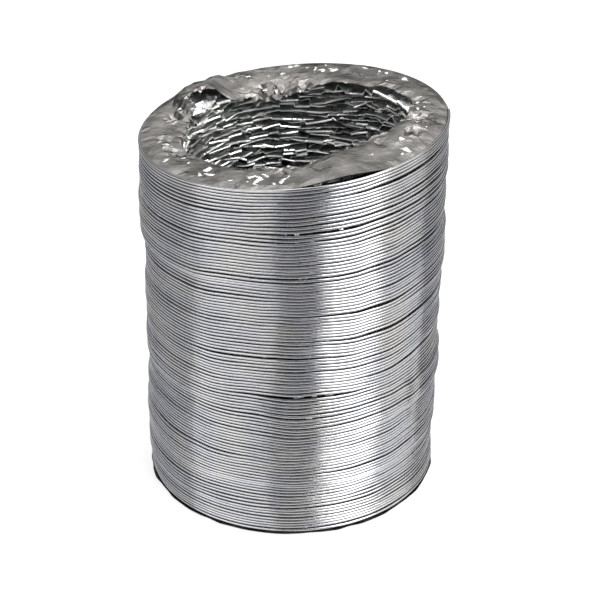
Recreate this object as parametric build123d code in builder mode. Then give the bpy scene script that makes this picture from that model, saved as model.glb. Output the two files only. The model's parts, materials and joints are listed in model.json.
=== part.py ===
"""Flexible foil air duct, pushed together to its packed length.

One spring wire runs from end to end as a helix, and a foil sleeve is bonded around it. With the
duct pushed together the wire's turns lie on each other, and the foil between two turns folds
inward as a pleat. The duct is divided into sections of a few turns, each with its own stretch
of the wire and of the foil, and a joining fold of foil lies between each section and the next.
Pulling the duct long draws each section off the fold below it, and bending it opens the folds
like a fan about the inside edge of the bend.

Millimetres. +Z is the airflow axis, and the origin is at the middle of the lower end.
"""

import os
from math import atan2, cos, degrees, sin

from build123d import *

# Driving dimensions
SECTIONS = 12  # moving groups of turns
TURNS = 9  # turns of wire in each section
PITCH = 1.22  # packed height of one turn
WIRE_RADIUS = 0.5  # spring wire in its foil jacket
COIL_RADIUS = 51.55  # axis of the duct to the middle of the wire
PLEAT_INNER_RADIUS = 37.6  # inward edge of the packed pleats
PLEAT_OUTER_RADIUS = 50.9  # where the foil meets the inside of the wire
FOIL = 0.12  # foil wall with its film and glue
END_CLEARANCE = 0.13  # end leaf to the nearest wire
WIRE_END_GAP = 0.4  # degrees left open where one section's wire ends
FOLD_OUTER_RADIUS = 50.5  # joining fold, clear of the wire on both sides
FOLD_OPENING = 0.06  # each leaf of a joining fold away from its middle, at the rim

# Worked out from them
COIL_OUTER_RADIUS = COIL_RADIUS + WIRE_RADIUS
SECTION_HEIGHT = TURNS * PITCH
COIL_START = FOIL + END_CLEARANCE + WIRE_RADIUS
DUCT_HEIGHT = SECTIONS * SECTION_HEIGHT + 2 * COIL_START
LEAF_SLOPE = (PITCH / 2) / (PLEAT_OUTER_RADIUS - PLEAT_INNER_RADIUS)
CROTCH = (FOIL / 2) / LEAF_SLOPE  # depth of solid foil inside each fold


def section_start(index):
    """Height at which this section's wire begins."""
    return COIL_START + index * SECTION_HEIGHT


def wire_coil(index):
    """One section of the helix: half turns that are each tilted, so that they join smoothly."""
    quarter = PITCH / 4
    tilt = atan2(quarter, COIL_RADIUS)
    halves = 2 * TURNS
    with BuildPart() as coil:
        for half in range(halves):
            side = 1 if half % 2 == 0 else -1
            low = section_start(index) + half * PITCH / 2
            turn_axis = Axis((0, 0, low + quarter), (side * sin(tilt), 0, cos(tilt)))
            arc = 180 if half < halves - 1 else 180 - WIRE_END_GAP
            with BuildSketch(Plane.XZ):
                with Locations((side * COIL_RADIUS, low)):
                    Circle(WIRE_RADIUS)
            revolve(axis=turn_axis, revolution_arc=arc)
    coil.part.label = f"wire_coil_{index + 1:02d}"
    return coil.part


def pleat_outline(index):
    """Closed outline of one section's zigzag foil, from its lowest turn to its highest."""
    half = FOIL / 2
    heights = [section_start(index) + (turn + 0.5) * PITCH for turn in range(TURNS)]
    outside = []
    inside = []
    for turn, height in enumerate(heights):
        outside += [(PLEAT_OUTER_RADIUS, height - half), (PLEAT_OUTER_RADIUS, height + half)]
        if 0 < turn < TURNS - 1:
            inside.append((PLEAT_OUTER_RADIUS - CROTCH, height))
        if turn < TURNS - 1:
            fold = height + PITCH / 2
            outside.append((PLEAT_INNER_RADIUS + CROTCH, fold))
            inside += [(PLEAT_INNER_RADIUS, fold - half), (PLEAT_INNER_RADIUS, fold + half)]
    return outside + inside[::-1]


def foil_pleats(index):
    """The foil of one section, folded inward between each turn of wire and the next."""
    with BuildPart() as pleats:
        with BuildSketch(Plane.XZ):
            with BuildLine():
                Polyline(*pleat_outline(index), close=True)
            make_face()
        revolve(axis=Axis.Z)
    pleats.part.label = f"foil_pleats_{index + 1:02d}"
    return pleats.part


def joining_fold(index):
    """The pleat between this section and the next: two leaves pressed nearly flat."""
    middle = section_start(index + 1)
    rim = FOLD_OPENING + FOIL
    with BuildPart() as fold:
        with BuildSketch(Plane.XZ):
            with BuildLine():
                Polyline(
                    (PLEAT_INNER_RADIUS, middle - FOIL),
                    (FOLD_OUTER_RADIUS, middle - rim),
                    (FOLD_OUTER_RADIUS, middle - FOLD_OPENING),
                    (PLEAT_INNER_RADIUS + 2 * FOIL, middle),
                    (FOLD_OUTER_RADIUS, middle + FOLD_OPENING),
                    (FOLD_OUTER_RADIUS, middle + rim),
                    (PLEAT_INNER_RADIUS, middle + FOIL),
                    close=True,
                )
            make_face()
        revolve(axis=Axis.Z)
    fold.part.label = f"joining_fold_{index + 1:02d}"
    return fold.part


def end_leaf(name, height):
    """The last leaf of foil at one end of the duct: a flat ring out to the edge of the wire."""
    with BuildPart() as leaf:
        with BuildSketch(Plane.XY.offset(height)):
            Circle(COIL_OUTER_RADIUS)
            Circle(PLEAT_INNER_RADIUS, mode=Mode.SUBTRACT)
        extrude(amount=FOIL)
    leaf.part.label = name
    return leaf.part


pieces = [
    end_leaf("bottom_end_leaf", 0),
    end_leaf("top_end_leaf", DUCT_HEIGHT - FOIL),
]
for section in range(SECTIONS):
    pieces.append(wire_coil(section))
    pieces.append(foil_pleats(section))
for section in range(SECTIONS - 1):
    pieces.append(joining_fold(section))

os.makedirs("parts", exist_ok=True)
for piece in pieces:
    export_step(piece, f"parts/{piece.label}.step")

print(f"outer diameter {2 * COIL_OUTER_RADIUS:.2f}, height {DUCT_HEIGHT:.2f}")
print(f"leaves slope {degrees(LEAF_SLOPE):.2f} degrees, {SECTIONS * TURNS} turns")
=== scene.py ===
import json
import math

import bpy
import numpy as np
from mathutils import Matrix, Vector
from mathutils.geometry import delaunay_2d_cdt


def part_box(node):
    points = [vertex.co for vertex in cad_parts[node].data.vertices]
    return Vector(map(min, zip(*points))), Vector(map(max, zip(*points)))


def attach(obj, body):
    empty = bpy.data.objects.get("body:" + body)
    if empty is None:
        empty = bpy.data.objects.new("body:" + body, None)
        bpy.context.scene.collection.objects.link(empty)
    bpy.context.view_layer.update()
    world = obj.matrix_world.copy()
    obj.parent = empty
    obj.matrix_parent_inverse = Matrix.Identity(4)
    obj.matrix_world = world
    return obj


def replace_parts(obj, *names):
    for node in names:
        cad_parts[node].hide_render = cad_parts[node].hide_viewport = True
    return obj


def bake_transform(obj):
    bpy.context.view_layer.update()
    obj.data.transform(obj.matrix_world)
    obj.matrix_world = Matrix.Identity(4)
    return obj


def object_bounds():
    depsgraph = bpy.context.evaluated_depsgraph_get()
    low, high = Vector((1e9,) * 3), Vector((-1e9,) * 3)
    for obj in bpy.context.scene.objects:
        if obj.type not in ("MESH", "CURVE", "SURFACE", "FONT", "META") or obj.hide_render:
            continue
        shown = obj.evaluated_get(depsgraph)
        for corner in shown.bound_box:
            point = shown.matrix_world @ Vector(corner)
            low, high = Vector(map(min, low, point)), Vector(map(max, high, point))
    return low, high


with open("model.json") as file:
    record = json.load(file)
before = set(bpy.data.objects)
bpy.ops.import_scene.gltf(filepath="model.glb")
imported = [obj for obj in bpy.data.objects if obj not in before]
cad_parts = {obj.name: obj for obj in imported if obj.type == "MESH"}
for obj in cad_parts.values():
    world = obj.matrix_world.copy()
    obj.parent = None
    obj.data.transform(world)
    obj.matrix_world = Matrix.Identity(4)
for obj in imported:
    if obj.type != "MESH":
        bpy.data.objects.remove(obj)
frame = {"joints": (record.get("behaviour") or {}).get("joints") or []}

# ---------------------------------------------------------------- sizes, metres
CAD_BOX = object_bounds()
MM = 0.001
HEIGHT = CAD_BOX[1].z
RIM_RADIUS = CAD_BOX[1].x

SLIDES = [j for j in frame["joints"] if j["type"] == "slide"]
HINGES = [j for j in frame["joints"] if j["type"] == "hinge"]
SECTIONS = len(SLIDES) + 1
SECTION_TURNS = 9
TURNS = SECTIONS * SECTION_TURNS

WIRE_RADIUS = 0.555 * MM  # wire in its foil jacket
COIL_RADIUS = RIM_RADIUS - WIRE_RADIUS
PITCH = HEIGHT / TURNS
PLEAT_DEPTH = 13 * MM  # outside of a joining fold to the mean inward edge of the pleats
PLEAT_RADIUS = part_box("joining_fold_01")[1][0] - PLEAT_DEPTH
FOIL_GAP = 0.25 * MM  # end leaf to the nearest turn
TOP_TILT = 4.2 * MM  # how much higher the right side of the top stands than its middle
BACK_TILT = 0.8 * MM  # and its back

COLUMNS = 360  # mesh columns in one turn of wire
TAU = 2 * math.pi
AROUND = np.arange(COLUMNS) * TAU / COLUMNS  # angle of each column
WIRE_ANGLES = np.radians([-90, -66, -42, -20, 0, 20, 42, 66, 90, 125, 180, 235])  # 0 is outward
UNSHADED_ANGLE = math.radians(18)  # where on the wire's section the painted shade is least; it grows towards the grooves and the underside

# Loose bands of turns: where each begins, counted in turns from the floor, with its sideways
# shift and its swell in millimetres
BANDS = [
    (0, -0.7, 0.0),
    (7, -1.1, 0.1),
    (16, -0.7, 0.5),
    (25, -0.4, 0.2),
    (33, 0.3, 0.3),
    (41, -0.3, 0.1),
    (50, -0.1, 0.0),
    (58, 0.0, 0.1),
    (67, 0.7, 0.1),
    (80, -0.3, 0.6),
    (93, 0.2, 0.4),
    (104, 0.4, 0.5),
    (108, 0.4, 0.5),
]

# Wide gaps between two turns: turn below, middle of the gap in degrees, half its width, and its
# size as a weight against the other gaps. The front of the duct is at 270 degrees.
WIDE_GAP_SHARE = 0.55
WIDE_GAPS = [
    (5, 250, 70, 2.6),
    (12, 190, 45, 6.0),
    (20, 300, 40, 3.4),
    (24, 212, 55, 5.0),
    (34, 240, 45, 3.2),
    (39, 266, 50, 4.0),
    (45, 272, 36, 7.0),
    (49, 322, 35, 3.4),
    (53, 285, 60, 2.6),
    (57, 250, 50, 3.0),
    (62, 315, 50, 3.6),
    (70, 290, 45, 3.0),
    (76, 225, 60, 3.6),
    (83, 335, 45, 2.6),
    (88, 215, 40, 3.4),
    (95, 300, 60, 3.0),
    (101, 225, 50, 4.6),
    (104, 315, 45, 4.6),
    (28, 80, 60, 4.0),
    (47, 120, 60, 4.0),
    (66, 60, 50, 4.0),
    (85, 130, 60, 4.0),
    (98, 90, 40, 4.0),
]


# ---------------------------------------------------------------- noise
ONE_ROW = 1000.0


def smooth(t):
    return t * t * (3 - 2 * t)


def ring_noise(seed, u, theta, step, cells):
    """Smooth noise from -1 to 1 over turns u and angle theta, which closes on itself round the
    duct. One cell is step turns tall, and there are cells of them round it. With a step of
    ONE_ROW the noise depends on the angle alone."""
    rng = np.random.default_rng(seed)
    grid = rng.uniform(-1, 1, (int(TURNS / step) + 4, cells))
    a = np.clip(u / step, 0, grid.shape[0] - 2)
    b = np.mod(theta / TAU, 1.0) * cells
    i, j = a.astype(int), b.astype(int) % cells
    fa, fb = smooth(a - i), smooth(b - b.astype(int))
    k = (j + 1) % cells
    low = grid[i, j] * (1 - fb) + grid[i, k] * fb
    high = grid[i + 1, j] * (1 - fb) + grid[i + 1, k] * fb
    return low * (1 - fa) + high * fa


def apart(theta, middle):
    """Angle between theta and middle, both in radians, from 0 to pi."""
    return np.abs(np.mod(theta - middle + math.pi, TAU) - math.pi)


def window(theta, middle_deg, half_deg):
    """1 at an angle, falling smoothly to 0 at half_deg each side of it."""
    t = np.clip(1 - apart(theta, math.radians(middle_deg)) / math.radians(half_deg), 0, 1)
    return smooth(t)


# ---------------------------------------------------------------- how the turns lie
def top_lift(theta):
    """How much higher the top stands than its middle."""
    return TOP_TILT * np.cos(theta) + BACK_TILT * np.sin(theta)


def make_levels():
    """Height of the underside of each turn's slot, on a grid of turns by columns. Most turns lie
    on each other, and the free height is shared out among the gaps by weight."""
    rng = np.random.default_rng(11)
    u, theta = np.meshgrid(np.arange(TURNS, dtype=float), AROUND, indexing="ij")
    waves = rng.uniform(-0.75, 0.35, (TURNS, 1)) + 0.6 * ring_noise(12, u, theta, 1.0, 5)
    waves += 0.35 * ring_noise(13, u, theta, 1.0, 13) + 0.16 * ring_noise(14, u, theta, 1.0, 31)
    touching = 0.015
    opening = smooth(np.clip(waves * 2.4 + 0.1, 0, 1))
    weight = touching + opening + 0.35 * np.clip(waves, 0, 1)
    for turn, middle, half, size in WIDE_GAPS:
        weight[turn] += WIDE_GAP_SHARE * size * window(AROUND, middle, half)
    slot = 2 * WIRE_RADIUS
    top = HEIGHT - FOIL_GAP - slot + top_lift(AROUND)
    free = top - FOIL_GAP - TURNS * slot
    gaps = weight / weight.sum(axis=0) * free
    levels = np.zeros((TURNS + 1, COLUMNS))
    levels[0] = FOIL_GAP
    levels[1:] = FOIL_GAP + np.cumsum(gaps + slot, axis=0)
    return levels


LEVELS = make_levels()


def at_columns(row, theta):
    """A row of LEVELS read at any angle."""
    c = np.mod(theta / TAU, 1.0) * COLUMNS
    i = c.astype(int) % COLUMNS
    f = c - np.floor(c)
    return row[i] * (1 - f) + row[(i + 1) % COLUMNS] * f


def turn_height(u, theta):
    """Height of the wire's middle, where u counts turns from the floor along the helix."""
    u = np.clip(u, 0, TURNS - 1e-6)
    turn = np.floor(u).astype(int)
    out = np.zeros_like(theta)
    for i in np.unique(turn):
        m = turn == i
        low, high = at_columns(LEVELS[i], theta[m]), at_columns(LEVELS[i + 1], theta[m])
        out[m] = low + (u[m] - i) * (high - low)
    return out + WIRE_RADIUS


def band_value(u, column):
    """A band's shift or swell, which changes over the two turns round each band's start."""
    out = np.full_like(u, BANDS[0][column])
    for before, after in zip(BANDS, BANDS[1:]):
        out += (after[column] - before[column]) * smooth(np.clip((u - after[0]) / 2 + 0.5, 0, 1))
    return out * MM


def turn_radius(u, theta):
    """Radius of the wire's middle: no turn is quite round."""
    slack = 0.25 * MM
    r = COIL_RADIUS - slack + band_value(u, 2)
    r = r + 0.20 * MM * ring_noise(21, u, theta, 3.5, 5)
    r = r + 0.14 * MM * ring_noise(22, u, theta, 1.0, 4)
    return r


def turn_centre(u, theta):
    """Middle of a turn, which is the same all round it."""
    x = band_value(u, 1) + 0.12 * MM * ring_noise(31, u, theta * 0, 1.3, 3)
    y = 0.25 * MM * ring_noise(32, u, theta * 0, 6.0, 3)
    return x, y


def coil_point(u, theta, out=0.0, up=0.0):
    """Points beside the wire's middle: out along the radius, and up."""
    x, y = turn_centre(u, theta)
    r = turn_radius(u, theta) + out
    return np.stack([x + r * np.cos(theta), y + r * np.sin(theta), turn_height(u, theta) + up], -1)


# ---------------------------------------------------------------- meshes
def new_piece(name, verts, faces, material, smooth_faces=True, unshaded=None):
    """A mesh object. smooth_faces is one flag, or one for each face. The last argument gives, for
    each vertex, how free of painted shade the foil is: 1 where it keeps its own colour, and 0 in
    the grooves, which get a painted shade."""
    mesh = bpy.data.meshes.new(name)
    mesh.from_pydata([tuple(v) for v in verts], [], [tuple(f) for f in faces])
    mesh.update()
    if isinstance(smooth_faces, bool):
        smooth_faces = [smooth_faces] * len(mesh.polygons)
    mesh.polygons.foreach_set("use_smooth", smooth_faces)
    if unshaded is not None:
        # the per-vertex share of the foil's own colour against the painted groove shade
        mesh.attributes.new("unshaded", "FLOAT", "POINT").data.foreach_set("value", unshaded)
    mesh.materials.append(material)
    piece = bpy.data.objects.new(name, mesh)
    bpy.context.scene.collection.objects.link(piece)
    return piece


def grid_faces(rows, cols):
    """Faces of a grid of points whose last column joins its first."""
    i, j = np.meshgrid(np.arange(rows - 1), np.arange(cols), indexing="ij")
    a = i * cols + j
    b = i * cols + (j + 1) % cols
    return np.stack([a, b, b + cols, a + cols], -1).reshape(-1, 4).tolist()


def blend_along(piece):
    """Bakes the piece's placement into its mesh."""
    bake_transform(piece)


def section_body(section):
    return f"section_{section + 1:02d}"


# ---------------------------------------------------------------- materials
def node_material(name):
    mat = bpy.data.materials.new(name)
    mat.use_nodes = True
    tree = mat.node_tree
    return mat, tree, tree.nodes["Principled BSDF"]


def add(tree, kind, values=None, **settings):
    """A node, with plain values for its sockets and settings of its own."""
    node = tree.nodes.new(kind)
    for key, value in settings.items():
        setattr(node, key, value)
    for key, value in (values or {}).items():
        node.inputs[key].default_value = value
    return node


def object_coords(tree, scale=(1, 1, 1)):
    coords = add(tree, "ShaderNodeTexCoord")
    mapping = add(tree, "ShaderNodeMapping", {"Scale": scale})
    tree.links.new(coords.outputs["Object"], mapping.inputs["Vector"])
    return mapping.outputs["Vector"]


def ramp(tree, source, stops):
    node = add(tree, "ShaderNodeValToRGB")
    elements = node.color_ramp.elements
    while len(elements) < len(stops):
        elements.new(0.5)
    for element, (place, colour) in zip(elements, stops):
        element.position = place
        element.color = (*colour, 1)
    tree.links.new(source, node.inputs["Fac"])
    return node.outputs["Color"]


def map_range(tree, source, low, high, to_low=0.0, to_high=1.0, steps="LINEAR"):
    values = {"From Min": low, "From Max": high, "To Min": to_low, "To Max": to_high}
    node = add(tree, "ShaderNodeMapRange", values, interpolation_type=steps)
    tree.links.new(source, node.inputs["Value"])
    return node.outputs["Result"]


def mix_colours(tree, factor, first, second):
    """A mix of two colours, each of which is a socket or a plain colour."""
    mix = add(tree, "ShaderNodeMix", data_type="RGBA")
    tree.links.new(factor, mix.inputs["Factor"])
    for name, colour in (("A", first), ("B", second)):
        socket = next(i for i in mix.inputs if i.name == name and i.type == "RGBA")
        if isinstance(colour, tuple):
            socket.default_value = (*colour, 1)
        else:
            tree.links.new(colour, socket)
    return next(o for o in mix.outputs if o.type == "RGBA")


def noise_tex(tree, vector, scale, detail=3.0):
    values = {"Scale": scale, "Detail": detail, "Roughness": 0.55}
    node = add(tree, "ShaderNodeTexNoise", values)
    tree.links.new(vector, node.inputs["Vector"])
    return node.outputs["Fac"]


def cell_edges(tree, vector, scale):
    node = add(tree, "ShaderNodeTexVoronoi", {"Scale": scale}, feature="DISTANCE_TO_EDGE")
    tree.links.new(vector, node.inputs["Vector"])
    return node.outputs["Distance"]


def add_bump(tree, bsdf, height, distance, strength, below=None):
    node = add(tree, "ShaderNodeBump", {"Distance": distance, "Strength": strength})
    tree.links.new(height, node.inputs["Height"])
    if below is not None:
        tree.links.new(below, node.inputs["Normal"])
    tree.links.new(node.outputs["Normal"], bsdf.inputs["Normal"])
    return node.outputs["Normal"]


def set_roughness(tree, bsdf, noise, low, high):
    """Roughness from low to high over the middle of a noise's range."""
    tree.links.new(map_range(tree, noise, 0.3, 0.7, low, high), bsdf.inputs["Roughness"])


def paint_groove_shade(tree, colour, painted_groove_shade, low, high):
    """Painted shade: the groove's colour where the per-vertex attribute is below low, and the
    foil's own colour above high.
    """
    unshaded = add(tree, "ShaderNodeAttribute", attribute_name="unshaded")
    share = map_range(tree, unshaded.outputs["Fac"], low, high, steps="SMOOTHSTEP")
    return mix_colours(tree, share, painted_groove_shade, colour)


def paint_crease_shade(tree, coords, colour):
    """Painted shade along sharp creases, which wander a little and come in patches: it darkens a
    colour there.
    """
    warp = add(tree, "ShaderNodeTexNoise", {"Scale": 260.0})
    tree.links.new(coords, warp.inputs["Vector"])
    shift = add(tree, "ShaderNodeVectorMath", operation="MULTIPLY_ADD")
    tree.links.new(warp.outputs["Color"], shift.inputs[0])
    shift.inputs[1].default_value = (0.006, 0.006, 0.006)
    tree.links.new(coords, shift.inputs[2])
    edges = cell_edges(tree, shift.outputs["Vector"], 130.0)
    line = ramp(tree, edges, [(0.0, (1, 1, 1)), (0.07, (0, 0, 0))])
    patches = noise_tex(tree, coords, 75.0, 2.0)
    where = ramp(tree, patches, [(0.59, (0, 0, 0)), (0.66, (0.9, 0.9, 0.9))])
    both = add(tree, "ShaderNodeMath", operation="MULTIPLY")
    tree.links.new(line, both.inputs[0])
    tree.links.new(where, both.inputs[1])
    # painted shade: near-black along the creases
    return mix_colours(tree, both.outputs["Value"], colour, (0.04, 0.04, 0.04))


def wire_material():
    """Foil drawn tight over the wire, with fine streaks along the turns, and a painted shade in
    the grooves between the turns and on the wire's underside.
    """
    mat, tree, bsdf = node_material("foil_over_wire")
    bsdf.inputs["Metallic"].default_value = 1.0
    bsdf.inputs["Specular Tint"].default_value = (0.45, 0.45, 0.47, 1)
    streaks = noise_tex(tree, object_coords(tree, (90, 90, 2600)), 1.0, 4.0)
    patches = noise_tex(tree, object_coords(tree), 60.0)
    tones = [(0.32, (0.41, 0.42, 0.45)), (0.5, (0.46, 0.46, 0.47)), (0.68, (0.51, 0.50, 0.485))]
    # painted shade: the grooves and underside of each turn take this dark grey
    colour = paint_groove_shade(tree, ramp(tree, patches, tones), (0.19, 0.19, 0.20), 0.15, 0.9)
    tree.links.new(colour, bsdf.inputs["Base Color"])
    set_roughness(tree, bsdf, streaks, 0.17, 0.29)
    add_bump(tree, bsdf, streaks, 0.12 * MM, 0.1)
    return mat


def foil_material(name, tones, roughness, wrinkle, painted_groove_shade=None, creased=False):
    """Creased foil: patches of slightly different tone, fine wrinkles and dull rubbed places.
    tones are dark, middle and light. Creased foil is also duller where it is seen edge on, and
    gets a painted shade along its sharp creases. A groove colour is a painted shade for the
    grooves."""
    mat, tree, bsdf = node_material(name)
    bsdf.inputs["Metallic"].default_value = 1.0
    coords = object_coords(tree)
    patches = noise_tex(tree, coords, 110.0, 4.0)
    colour = ramp(tree, patches, list(zip((0.3, 0.5, 0.7), tones)))
    if creased:
        colour = paint_crease_shade(tree, coords, colour)
        bsdf.inputs["Specular Tint"].default_value = (0.33, 0.33, 0.33, 1)
    if painted_groove_shade:
        colour = paint_groove_shade(tree, colour, painted_groove_shade, 0.2, 0.6)
    tree.links.new(colour, bsdf.inputs["Base Color"])
    set_roughness(tree, bsdf, noise_tex(tree, coords, 320.0), *roughness)
    creases = add_bump(tree, bsdf, cell_edges(tree, coords, 420.0), 0.6 * MM, wrinkle)
    add_bump(tree, bsdf, noise_tex(tree, coords, 900.0), 0.3 * MM, wrinkle, creases)
    return mat


WIRE = wire_material()
SKIN = foil_material(
    "foil_between_turns",
    tones=[(0.6, 0.61, 0.62), (0.78, 0.78, 0.78), (0.9, 0.9, 0.88)],
    roughness=(0.2, 0.4),
    wrinkle=0.35,
    # painted shade: near-black foil in the gaps beside the wires
    painted_groove_shade=(0.04, 0.04, 0.04),
)
PLEAT = foil_material(
    "pleat_foil",
    tones=[(0.72, 0.75, 0.76), (0.88, 0.89, 0.88), (0.96, 0.95, 0.9)],
    roughness=(0.26, 0.44),
    wrinkle=0.2,
)
LEAF = foil_material(
    "end_leaf_foil",
    tones=[(0.14, 0.135, 0.128), (0.22, 0.212, 0.202), (0.34, 0.328, 0.314)],
    roughness=(0.24, 0.4),
    wrinkle=0.2,
    creased=True,
)


# ---------------------------------------------------------------- wire
def wire_tube(first, last, columns):
    """The wire from turn first to turn last, with a flat cap at each end: its vertices, faces,
    smooth flags and how free of painted shade each vertex is."""
    u = np.linspace(first, last, columns)
    theta = u * TAU
    spine = coil_point(u, theta)
    bead = 1 + 0.05 * ring_noise(41, u, theta, 1.0, 90) + 0.04 * ring_noise(42, u, theta, 1.0, 37)
    out = spine[:, :2] - np.stack(turn_centre(u, theta), -1)
    out /= np.linalg.norm(out, axis=1)[:, None]
    sides = len(WIRE_ANGLES)
    reach = WIRE_RADIUS * bead[:, None]
    verts = np.zeros((columns, sides, 3))
    verts[:, :, :2] = spine[:, None, :2] + out[:, None, :] * (reach * np.cos(WIRE_ANGLES))[:, :, None]
    verts[:, :, 2] = spine[:, None, 2] + reach * np.sin(WIRE_ANGLES)
    faces = grid_faces(columns, sides)
    flags = [True] * len(faces) + [False, False]
    caps = columns * sides
    faces.append([caps + k for k in range(sides)])
    faces.append([caps + sides + k for k in reversed(range(sides))])
    verts = np.concatenate([verts, verts[:1], verts[-1:]])
    # least painted shade at the angle above, full painted shade in the grooves and underneath
    unshaded = np.tile(np.clip(np.cos(WIRE_ANGLES - UNSHADED_ANGLE), 0, 1), columns + 2)
    return verts.reshape(-1, 3), faces, flags, unshaded


def make_wires():
    """The wire in half turns, one piece each. The top section stays together, in one piece on
    its body."""
    half_columns = COLUMNS // 2 + 1
    for section in range(SECTIONS - 1):
        for half in range(2 * SECTION_TURNS):
            first = section * SECTION_TURNS + half / 2
            verts, faces, flags, unshaded = wire_tube(first, first + 0.5, half_columns)
            name = f"wire_{section + 1:02d}_{half + 1:02d}"
            piece = new_piece(name, verts, faces, WIRE, flags, unshaded)
            blend_along(piece)
            if half == 0:
                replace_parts(piece, f"wire_coil_{section + 1:02d}")
    first = (SECTIONS - 1) * SECTION_TURNS
    verts, faces, flags, unshaded = wire_tube(first, TURNS, SECTION_TURNS * COLUMNS + 1)
    piece = new_piece("wire_top_section", verts, faces, WIRE, flags, unshaded)
    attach(piece, section_body(SECTIONS - 1))
    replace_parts(piece, f"wire_coil_{SECTIONS:02d}")


# ---------------------------------------------------------------- foil between the turns
SKIN_ROWS = [  # one turn of foil: place between the wires, depth in mm, and how free of painted shade it is (the rows by the wires get a near-black painted shade)
    (0.0, 0.4, 0.0),
    (0.06, 1.3, 0.1),
    (0.3, 2.9, 0.8),
    (0.5, 3.4, 0.8),
    (0.7, 2.9, 0.8),
    (0.94, 1.3, 0.1),
]
PEEK_UNSHADED = 0.5  # foil with less painted shade than this may stand out between the wires
WEB_ROWS = 9
WEB_HALF = 0.65 * MM  # half the height of the foil across a joining fold
WEB_UNSHADED = 0.45  # how free of painted shade it is, between the grooves' painted shade (0) and bare foil (1)


def foil_peek(u, theta):
    """How far the foil stands out between the wires, from 0 to 0.85: in patches, and in many
    small ones at the front."""
    patches = np.clip(ring_noise(61, u, theta, 0.9, 34) - 0.56, 0, 1) * 2.4
    front = window(theta, 278, 22) + 0.4 * window(theta, 250, 30)
    patches += front * np.clip(ring_noise(62, u, theta, 0.6, 150) - 0.05, 0, 1) * 2.4
    return np.clip(patches, 0, 0.85)


def skin_rows(first, last):
    """Foil that dips inward between each turn and the next, as closed rings of points, with how
    free of painted shade each point is: the rows by the wires get a painted shade.
    """
    rows, unshaded_rows = [], []
    for turn in range(first, last):
        for part, (place, deep, unshaded_share) in enumerate(SKIN_ROWS):
            if turn + 0.5 + place > TURNS:
                continue
            u = np.full(COLUMNS, turn + place)
            depth = deep * (1 + 0.25 * ring_noise(51 + part, u, AROUND, 0.25, 120))
            unshaded = np.full(COLUMNS, unshaded_share)
            if unshaded_share > PEEK_UNSHADED:
                peek = foil_peek(u, AROUND)
                depth = depth * (1 - peek)
                # foil that stands out between the wires loses its painted shade
                unshaded = np.maximum(unshaded, peek)
            unshaded_rows.append(unshaded)
            rows.append(coil_point(u + AROUND / TAU, AROUND, out=-depth * MM))
    return np.array(rows), np.array(unshaded_rows)


def ring_piece(name, rows, unshaded_rows):
    faces = grid_faces(rows.shape[0], rows.shape[1])
    return new_piece(name, rows.reshape(-1, 3), faces, SKIN, True, unshaded_rows.ravel())


def seam(section):
    """Middle of the ring where a section meets the next, the slope of the ring along X, and the
    direction square to it."""
    ring = coil_point(np.full(COLUMNS, (section + 1) * SECTION_TURNS - 0.5), AROUND)
    ring[:, 2] += WIRE_RADIUS
    middle = ring.mean(axis=0)
    ring -= middle
    slope = float((ring[:, 2] * ring[:, 0]).mean() / (ring[:, 0] ** 2).mean())
    return Vector(middle), slope, Vector((-slope, 0, 1)).normalized()


def make_skins():
    """The outer foil of each section, one piece each."""
    for section in range(SECTIONS):
        first = section * SECTION_TURNS - (1 if section else 0)
        rows, unshaded_rows = skin_rows(first, (section + 1) * SECTION_TURNS)
        piece = ring_piece(f"foil_wall_{section + 1:02d}", rows, unshaded_rows)
        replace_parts(piece, f"foil_pleats_{section + 1:02d}")
        if section == SECTIONS - 1:
            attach(piece, section_body(section))
            continue
        top, _, normal = seam(section)
        low = seam(section - 1)[0] if section else Vector((top.x, top.y, FOIL_GAP))
        blend_along(piece)


def make_seam_webs():
    """Foil across each joining fold, one piece for each hinge."""
    for section, hinge in enumerate(HINGES):
        top, slope, normal = seam(section)
        u = np.full(COLUMNS, (section + 1) * SECTION_TURNS - 0.5)
        rows = []
        for part in np.linspace(-1, 1, WEB_ROWS):
            depth = 3.6 + 0.9 * abs(part) + 0.4 * ring_noise(71, u + part, AROUND, 0.25, 120)
            points = coil_point(u + AROUND / TAU, AROUND, out=-depth * MM)
            points[:, 2] = top.z + slope * (points[:, 0] - top.x) + part * WEB_HALF
            rows.append(points)
        rows = np.array(rows)
        # the web takes part of the grooves' painted shade
        unshaded_rows = np.full(rows.shape[:2], WEB_UNSHADED)
        piece = ring_piece(f"fold_web_{section + 1:02d}", rows, unshaded_rows)
        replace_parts(piece, f"joining_fold_{section + 1:02d}")
        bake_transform(piece)


# ---------------------------------------------------------------- pleats inside
OPENING_SHIFT = (2.0 * MM, -4.0 * MM)  # middle of the mouth from the duct's axis
OPENING_REACH = 22 * MM  # how far down the bore that shift fades
WALL_DEPTH = 5 * MM  # how far inside the rim the pleats begin
PLEAT_BREAKS = 44  # creases round each pleat
BREAK_JITTER = 0.42  # how uneven they are, as a share of their spacing
DENT_SHARE = 0.12  # share of facets that are pushed back
DENT_DEPTH = (1.5, 5.0)  # mm
REACH_SPREAD = 0.8  # mm that a facet's ends stand in or out
FACET_LIFT = 0.25  # mm that a facet stands up or down
END_LIFT = 0.42  # and each of its ends
LOOSE_SIDE = 55  # direction in degrees of the looser pleats near the mouth
PLEATS_PER_PIECE = 3
PLEAT_PROFILE = (  # share of the way from wall to crease, and half thickness there
    (0.0, -0.35),
    (0.5, -0.5),
    (0.84, -0.8),
    (0.94, -1.0),
    (0.99, -0.62),
    (1.0, 0.1),
    (0.98, 0.75),
    (0.93, 1.0),
    (0.84, 0.8),
    (0.5, 0.5),
    (0.0, 0.35),
)


def ends_and_middle(pairs):
    """Each facet's value at its first end, its middle and its last end, in one row."""
    return np.stack([pairs[:, 0], pairs.mean(axis=1), pairs[:, 1]], -1).ravel()


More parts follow.
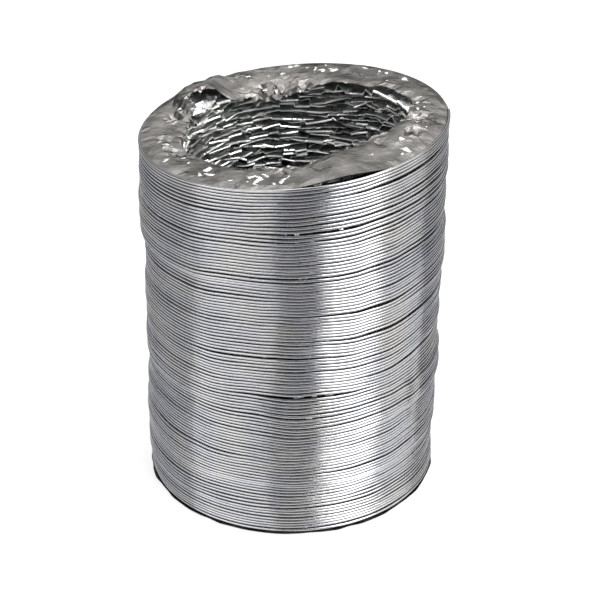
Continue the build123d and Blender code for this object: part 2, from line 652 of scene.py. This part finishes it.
def pleat_facets(turn):
    """A pleat's facets: their angles, and how far each end stands back and up, in mm."""
    rng = np.random.default_rng(1000 + turn)
    count = PLEAT_BREAKS
    breaks = (np.arange(count) + rng.uniform(-BREAK_JITTER, BREAK_JITTER, count)) * TAU / count
    ends = np.append(breaks[1:], breaks[0] + TAU)
    theta = np.stack([breaks + t * (ends - breaks) for t in (0.02, 0.5, 0.96)], -1).ravel()
    dents = np.where(rng.uniform(size=count) < DENT_SHARE, rng.uniform(*DENT_DEPTH, count), 0)
    reach = rng.normal(0, REACH_SPREAD, (count, 2)) + dents[:, None]
    lift = rng.normal(0, FACET_LIFT, (count, 1)) + rng.normal(0, END_LIFT, (count, 2))
    return np.mod(theta, TAU), ends_and_middle(reach), ends_and_middle(lift)


def pleat_ring(turn):
    """One pleat's inward fold, as rows of points from the wall to the crease and back. Where
    one pleat stands out into the bore, the next one is pressed back behind it. At the back
    right of the mouth the pleats are looser."""
    theta, reach, lift = pleat_facets(turn)
    row = np.full_like(theta, float(turn))
    slip = 1.6 * ring_noise(83, row, theta, 7.0, 7) + 0.8 * ring_noise(84, row, theta, 2.0, 13)
    proud = np.clip(0.5 + 0.62 * np.cos(math.pi * (turn + slip)), 0, 1)
    wall_height = turn_height(row + theta / TAU, theta)
    share = math.exp((turn - TURNS) * PITCH / OPENING_REACH)
    shift_x, shift_y = (shift * share for shift in OPENING_SHIFT)
    loose = np.clip((turn - TURNS + 12) / 8, 0, 1) * window(theta, LOOSE_SIDE, 55)
    back = 0.2 + reach * (1 + 0.3 * loose) - 2.0 * loose + 2.2 * (1 - proud)
    tip_r = PLEAT_RADIUS + back * MM
    wall_r = RIM_RADIUS - WALL_DEPTH
    lift = lift * (1 + 0.4 * loose)
    half = (0.16 + 0.30 * proud ** 2) * MM
    rows = []
    for mix, side in PLEAT_PROFILE:
        r = wall_r * (1 - mix) + tip_r * mix
        z = wall_height + (lift * MM) * mix ** 1.5 + side * half
        x = r * np.cos(theta) + shift_x * mix
        y = r * np.sin(theta) + shift_y * mix
        rows.append(np.stack([x, y, z], -1))
    return np.array(rows)


def make_pleats():
    """Three pleats to a piece. The top section's pieces ride on its body."""
    for section in range(SECTIONS):
        for part in range(SECTION_TURNS // PLEATS_PER_PIECE):
            verts, faces = [], []
            for k in range(PLEATS_PER_PIECE):
                turn = section * SECTION_TURNS + part * PLEATS_PER_PIECE + k
                if turn >= TURNS - 1:
                    continue
                rows = pleat_ring(turn)
                offset = len(verts)
                verts += rows.reshape(-1, 3).tolist()
                ring = grid_faces(rows.shape[0], rows.shape[1])
                faces += [[offset + i for i in f] for f in ring]
            piece = new_piece(f"pleats_{section + 1:02d}_{part + 1}", verts, faces, PLEAT, False)
            if section == SECTIONS - 1:
                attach(piece, section_body(section))
                continue
            blend_along(piece)


# ---------------------------------------------------------------- end leaves
MOUTH = [  # edge of the top leaf round the mouth: angle in degrees, radius in mm
    (12, 40.5),
    (30, 38.5),
    (46, 34),
    (69, 32),
    (84, 29),
    (101, 26.5),
    (119, 29.5),
    (129, 32),
    (134, 38),
    (140, 41.5),
    (148, 42),
    (154, 39.5),
    (159, 36),
    (172, 36.2),
    (192, 38.6),
    (215, 37.8),
    (235, 36.6),
    (255, 35),
    (282, 35),
    (305, 32.5),
    (325, 33),
    (345, 36),
]
CRUMPLES = [  # crumpled places on the top leaf: angle, half width, radius, half depth, height mm
    (190, 10, 44, 5, 0.9),
    (206, 11, 42, 6, 1.1),
    (166, 12, 41, 7, 1.0),
    (146, 20, 42, 7, 0.9),
    (102, 32, 30, 9, 1.6),
    (86, 8, 38, 5, 0.6),
    (62, 7, 42, 4, 0.5),
    (112, 8, 42, 4, 0.5),
    (36, 8, 42, 5, 0.6),
    (8, 9, 44, 5, 1.0),
    (350, 11, 42, 7, 1.0),
    (336, 10, 43, 5, 0.9),
    (318, 8, 37, 4, 0.4),
    (266, 7, 38, 5, 0.9),
    (246, 6, 38, 4, 0.4),
]
POCKET = 143  # direction in degrees of the pocket that stands open in the top leaf
POCKET_FLOOR = 148  # and of the foil that shows in it
TONGUE = 100  # of the tongue that droops into the bore
SLIT = 288  # of the stretch that lifts off the last turn
UPPER_RIM = 51 * MM  # radius within which the top leaf is free of the last turn
UPPER_SEED, UNDER_SEED, LOWER_SEED = 7, 8, 9
UPPER_POINTS = 60000  # points tried on the top leaf
HIDDEN_POINTS = 25000  # and on each leaf that hardly shows
LEAF_COLUMNS = 240
EDGE_CLEAR = 0.5 * MM  # scattered points keep this far from a leaf's edges
FLAT_SPACING = 2.4  # mm between the points where the foil is flat
CRUMPLED_SPACING = 1.2  # mm between them where it is fully crumpled
CRUMPLED = 0.5 * MM  # wrinkles this high count as fully crumpled


def crumple_size(theta, r):
    """How high the top leaf's wrinkles stand: low all over, high in the crumpled places, and
    raised along the mouth."""
    size = 0.06 + 0.22 * np.clip(ring_noise(93, r / MM, theta, 6.0, 18), 0, 1)
    for angle, half, radius, deep, height in CRUMPLES:
        near = np.clip(1 - np.abs(r / MM - radius) / deep, 0, 1)
        size += height * window(theta, angle, half) * smooth(near)
    edge = np.clip(1 - (r - mouth_radius(theta)) / (2.5 * MM), 0, 1)
    return (size + 0.3 * edge) * MM


def mouth_radius(theta):
    """Distance from the axis to the mouth's nicked edge."""
    angle = np.radians([MOUTH[-1][0] - 360] + [a for a, _ in MOUTH] + [MOUTH[0][0] + 360])
    radius = [MOUTH[-1][1]] + [r for _, r in MOUTH] + [MOUTH[0][1]]
    flat = np.zeros_like(theta)
    nick = 0.8 * ring_noise(91, flat, theta, ONE_ROW, 48)
    wave = 0.5 * ring_noise(92, flat, theta, ONE_ROW, 19)
    return (np.interp(np.mod(theta, TAU), angle, radius) + (nick + wave)) * MM


def rim_height(theta):
    """Top of the last turn."""
    return at_columns(LEVELS[TURNS], theta) + 2 * WIRE_RADIUS


def scatter(seed, count, inner, outer, spacing):
    """Random points of a ring, as angles and radii, no two closer than the spacing there."""
    rng = np.random.default_rng(seed)
    theta = rng.uniform(0, TAU, count)
    low = inner(theta) + EDGE_CLEAR
    r = np.sqrt(low ** 2 + rng.uniform(0, 1, count) * (outer ** 2 - low ** 2))
    keep_off = spacing(theta, r)
    x, y = r * np.cos(theta), r * np.sin(theta)
    cell = 1 * MM
    cells, kept = {}, []
    for i in range(count):
        cx, cy = int(x[i] // cell), int(y[i] // cell)
        reach = int(keep_off[i] / cell) + 1
        near = (
            j
            for a in range(cx - reach, cx + reach + 1)
            for b in range(cy - reach, cy + reach + 1)
            for j in cells.get((a, b), ())
        )
        if all((x[j] - x[i]) ** 2 + (y[j] - y[i]) ** 2 > keep_off[i] ** 2 for j in near):
            cells.setdefault((cx, cy), []).append(i)
            kept.append(i)
    return theta[kept], r[kept]


def wrinkles(theta, r):
    """Sharp foil wrinkles from -1 to 1, about 5 mm and 2 mm apart."""
    wide = 1 - 2.4 * np.abs(ring_noise(97, r / MM, theta, 7.0, 52))
    fine = 1 - 2.4 * np.abs(ring_noise(98, r / MM, theta, 2.6, 120))
    return 0.62 * wide + 0.38 * fine


def leaf_mesh(seed, count, inner, outer, height, crumple):
    """A crumpled ring of foil: scattered points joined into flat facets. inner and outer are
    functions of angle, height and crumple of angle and radius."""
    around = np.arange(LEAF_COLUMNS) * TAU / LEAF_COLUMNS

    def spacing(theta, r):
        crumpled = np.clip(crumple(theta, r) / CRUMPLED, 0, 1)
        return (FLAT_SPACING - (FLAT_SPACING - CRUMPLED_SPACING) * crumpled) * MM

    theta, r = scatter(seed, count, inner, RIM_RADIUS, spacing)
    kept = r < outer(theta) - EDGE_CLEAR
    theta = np.concatenate([around, around, theta[kept]])
    r = np.concatenate([inner(around), outer(around), r[kept]])
    flat = [Vector(p) for p in zip(r * np.cos(theta), r * np.sin(theta))]
    loop = list(range(len(around)))
    edges = [(i, (i + 1) % len(loop)) for i in loop]
    edges += [(a + len(loop), b + len(loop)) for a, b in edges]
    coords, _, tris, _, _, _ = delaunay_2d_cdt(flat, edges, [], 0, 1e-7)
    xy = np.array([tuple(c) for c in coords])
    theta = np.mod(np.arctan2(xy[:, 1], xy[:, 0]), TAU)
    r = np.hypot(xy[:, 0], xy[:, 1])
    free = np.clip((outer(theta) - r) / (1.5 * MM), 0, 1)
    rng = np.random.default_rng(seed + 500)
    rough = wrinkles(theta, r) + 0.3 * rng.normal(0, 1, len(r))
    z = height(theta, r) + rough * crumple(theta, r) * free
    middle = xy[np.array(tris)].mean(axis=1)
    theta = np.mod(np.arctan2(middle[:, 1], middle[:, 0]), TAU)
    r = np.hypot(middle[:, 0], middle[:, 1])
    inside = (r < outer(theta)) & (r > inner(theta) - 0.05 * MM)
    faces = [list(tri) for tri, keep in zip(tris, inside) if keep]
    return np.stack([xy[:, 0], xy[:, 1], z], -1), faces


def top_leaf_height(theta, r):
    """The top leaf: a puffed pocket at the back left, a tongue that droops into the bore at the
    back, and a stretch at the front right that lifts off the last turn. Each is worked out in
    millimetres above the last turn."""
    flat = np.zeros_like(theta)
    across = theta + np.radians(1.1) * (r / MM - 41)
    arch = smooth(np.clip(1.2 * window(across, POCKET, 25), 0, 1))
    puff = 3.5 * arch * smooth(np.clip((51.4 * MM - r) / (3.6 * MM), 0, 1))
    ruffle = np.clip(ring_noise(94, flat, theta, ONE_ROW, 70), 0, 1)
    puff += 0.3 * window(theta, TONGUE, 70) * ruffle
    droop = -3.4 * window(theta, TONGUE, 36) * smooth(np.clip((40 * MM - r) / (12 * MM), 0, 1))
    slit = 1.5 * window(theta, SLIT, 22)
    wave = 0.35 * ring_noise(95, flat, theta, ONE_ROW, 16)
    roll = wave * np.clip((UPPER_RIM - r) / (4 * MM), 0, 1)
    edge = -0.5 * np.clip(1 - (r - mouth_radius(theta)) / (3 * MM), 0, 1)
    pressed = smooth(np.clip((r - 50 * MM) / (1.2 * MM), 0, 1))
    tuck = -0.5 * pressed * (1 - window(theta, SLIT, 26))
    return rim_height(theta) + (puff + droop + slit + roll + edge + tuck) * MM


def under_leaf_edge(theta):
    """Edge of the layer below the top leaf, which shows only in front of the pocket."""
    return (41 - 6 * window(theta, POCKET_FLOOR, 26)) * MM


def last_turn_radius(theta):
    """Edge of the top leaf, just inside the outline of the last turn's middle."""
    return turn_radius(np.full_like(theta, TURNS - 0.5), theta) - 0.15 * MM


def bottom_hole(theta):
    """Radius of the hole in the bottom leaf."""
    return (37.8 + 0.8 * ring_noise(96, np.zeros_like(theta), theta, ONE_ROW, 30)) * MM


def bottom_rim(theta):
    """Radius of the bottom leaf's uneven outer edge."""
    return RIM_RADIUS + (0.1 + 0.5 * ring_noise(99, np.zeros_like(theta), theta, ONE_ROW, 70)) * MM


def bottom_leaf_height(theta, r):
    """The bottom leaf: almost on the floor, and turned up a little at its rim."""
    return 0.15 * MM + 0.5 * MM * np.clip((r - 50.5 * MM) / (2 * MM), 0, 1)


def add_leaf(name, mesh, material, section):
    """A leaf over the end turn of the first or the last section."""
    verts, faces = mesh
    x, y = turn_centre(np.array([TURNS - 0.5 if section else 0.5]), np.zeros(1))
    piece = new_piece(name, verts + (float(x[0]), float(y[0]), 0), faces, material, False)
    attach(piece, section_body(section))
    return piece


def make_ends():
    last = SECTIONS - 1
    top = leaf_mesh(
        UPPER_SEED, UPPER_POINTS, mouth_radius, last_turn_radius, top_leaf_height, crumple_size
    )
    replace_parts(add_leaf("top_leaf", top, LEAF, last), "top_end_leaf")
    under = leaf_mesh(
        UNDER_SEED,
        HIDDEN_POINTS,
        inner=under_leaf_edge,
        outer=lambda theta: np.full_like(theta, RIM_RADIUS - 2 * MM),
        height=lambda theta, r: rim_height(theta) - 0.6 * MM,
        crumple=lambda theta, r: np.full_like(theta, 0.8 * MM),
    )
    add_leaf("top_under_leaf", under, PLEAT, last)
    bottom = leaf_mesh(
        LOWER_SEED,
        HIDDEN_POINTS,
        inner=bottom_hole,
        outer=bottom_rim,
        height=bottom_leaf_height,
        crumple=lambda theta, r: np.full_like(theta, 0.14 * MM),
    )
    floor_gap = 0.02 * MM
    bottom[0][:, 2] = np.maximum(bottom[0][:, 2], floor_gap)
    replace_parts(add_leaf("bottom_leaf", bottom, LEAF, 0), "bottom_end_leaf")


# ---------------------------------------------------------------- studio
WORLD_COLOUR = (0.9, 0.93, 1.0, 1)
WORLD_STRENGTH = 0.12
WHITE = (1, 1, 1)
SOFTBOXES = {  # azimuth and elevation in degrees, distance, size, radiance and colour
    "key": (47, 31, 2.7, (1.4, 3.1), 7.0, WHITE),
    "key_edge": (31, 31, 2.75, (0.3, 3.1), 2.2, (0.82, 0.91, 1.0)),
    "right": (79, 20, 3.3, (2.7, 2.1), 1.8, WHITE),
    "left": (-45, 20, 3.3, (4.0, 2.1), 2.5, WHITE),
    "far_left": (-105, 20, 3.6, (2.6, 2.1), 0.2, WHITE),
    "overhead": (180, 77, 4.6, (5.6, 5.0), 1.75, WHITE),
    "back": (180, 31, 4.8, (5.4, 2.6), 1.35, WHITE),
    "spark": (180, 60, 4.4, (1.6, 0.8), 8.0, WHITE),
}
FLOOR_HALF = 20.0
FLOOR_LIGHT = (0.3, 0.3, 0.3)
# painted shade on the floor in front of the duct, standing in for the studio's shade there
FLOOR_PAINTED_SHADE = (0.08, 0.08, 0.083)
FLOOR_GLOW = 2.4
SHADE_TURN = 30  # the floor's painted shade lies this many degrees left of the camera, outside its view
SHADE_START = 0.105  # from this far from the duct's axis
SHADE_END = 0.22
CAMERA_ELEVATION = 29  # degrees
CAMERA_DISTANCE = 11 * RIM_RADIUS
CAMERA_LENS = 96.6  # mm
CAMERA_SENSOR = 36.0  # mm
CAMERA_TARGET = Vector((2.5 * MM, 0, HEIGHT / 2 - 2.5 * MM))


def add_softbox(name, azimuth, elevation, distance, size, radiance, colour):
    """A softbox that faces the duct's middle. Azimuth 0 is at the camera's side and 90 to its
    right."""
    a, e = math.radians(azimuth), math.radians(elevation)
    target = Vector((0, 0, HEIGHT / 2))
    place = Vector((math.sin(a) * math.cos(e), -math.cos(a) * math.cos(e), math.sin(e)))
    data = bpy.data.lights.new(name, "AREA")
    data.shape = "RECTANGLE"
    data.size, data.size_y = size
    data.energy = radiance * math.pi * size[0] * size[1]
    data.color = colour
    lamp = bpy.data.objects.new(name, data)
    lamp.location = target + place * distance
    lamp.rotation_mode = "QUATERNION"
    lamp.rotation_quaternion = (-place).to_track_quat("-Z", "Y")
    bpy.context.scene.collection.objects.link(lamp)


def floor_material():
    """A pale floor that glows to white, with a painted shade that dims it in front of the duct and
    to its left.
    """
    mat, tree, bsdf = node_material("studio_floor")
    coords = add(tree, "ShaderNodeTexCoord")
    turn = add(tree, "ShaderNodeMapping", {"Rotation": (0, 0, math.radians(-SHADE_TURN))})
    tree.links.new(coords.outputs["Object"], turn.inputs["Vector"])
    axis = add(tree, "ShaderNodeSeparateXYZ")
    tree.links.new(turn.outputs["Vector"], axis.inputs["Vector"])
    shade_share = map_range(tree, axis.outputs["Y"], -SHADE_START, -SHADE_END, steps="SMOOTHSTEP")
    tone = ramp(tree, shade_share, [(0.0, FLOOR_LIGHT), (1.0, FLOOR_PAINTED_SHADE)])
    tree.links.new(tone, bsdf.inputs["Base Color"])
    tree.links.new(tone, bsdf.inputs["Emission Color"])
    bsdf.inputs["Emission Strength"].default_value = FLOOR_GLOW
    bsdf.inputs["Roughness"].default_value = 0.9
    return mat


def make_studio():
    scene = bpy.context.scene
    scene.view_settings.view_transform = "Standard"
    world = bpy.data.worlds.new("studio")
    world.use_nodes = True
    background = world.node_tree.nodes["Background"]
    background.inputs["Color"].default_value = WORLD_COLOUR
    background.inputs["Strength"].default_value = WORLD_STRENGTH
    scene.world = world

    half = FLOOR_HALF
    corners = [(-half, -half, 0), (half, -half, 0), (half, half, 0), (-half, half, 0)]
    new_piece("studio_floor", corners, [(0, 1, 2, 3)], floor_material())
    for name, setting in SOFTBOXES.items():
        add_softbox(name, *setting)


def make_camera():
    data = bpy.data.cameras.new("camera")
    data.sensor_width = CAMERA_SENSOR
    data.lens = CAMERA_LENS
    cam = bpy.data.objects.new("camera", data)
    elevation = math.radians(CAMERA_ELEVATION)
    back = Vector((0, -math.cos(elevation), math.sin(elevation)))
    cam.location = CAMERA_TARGET + back * CAMERA_DISTANCE
    cam.rotation_mode = "QUATERNION"
    cam.rotation_quaternion = (-back).to_track_quat("-Z", "Y")
    bpy.context.scene.collection.objects.link(cam)
    bpy.context.scene.camera = cam


make_camera()
make_studio()
make_wires()
make_skins()
make_seam_webs()
make_pleats()
make_ends()
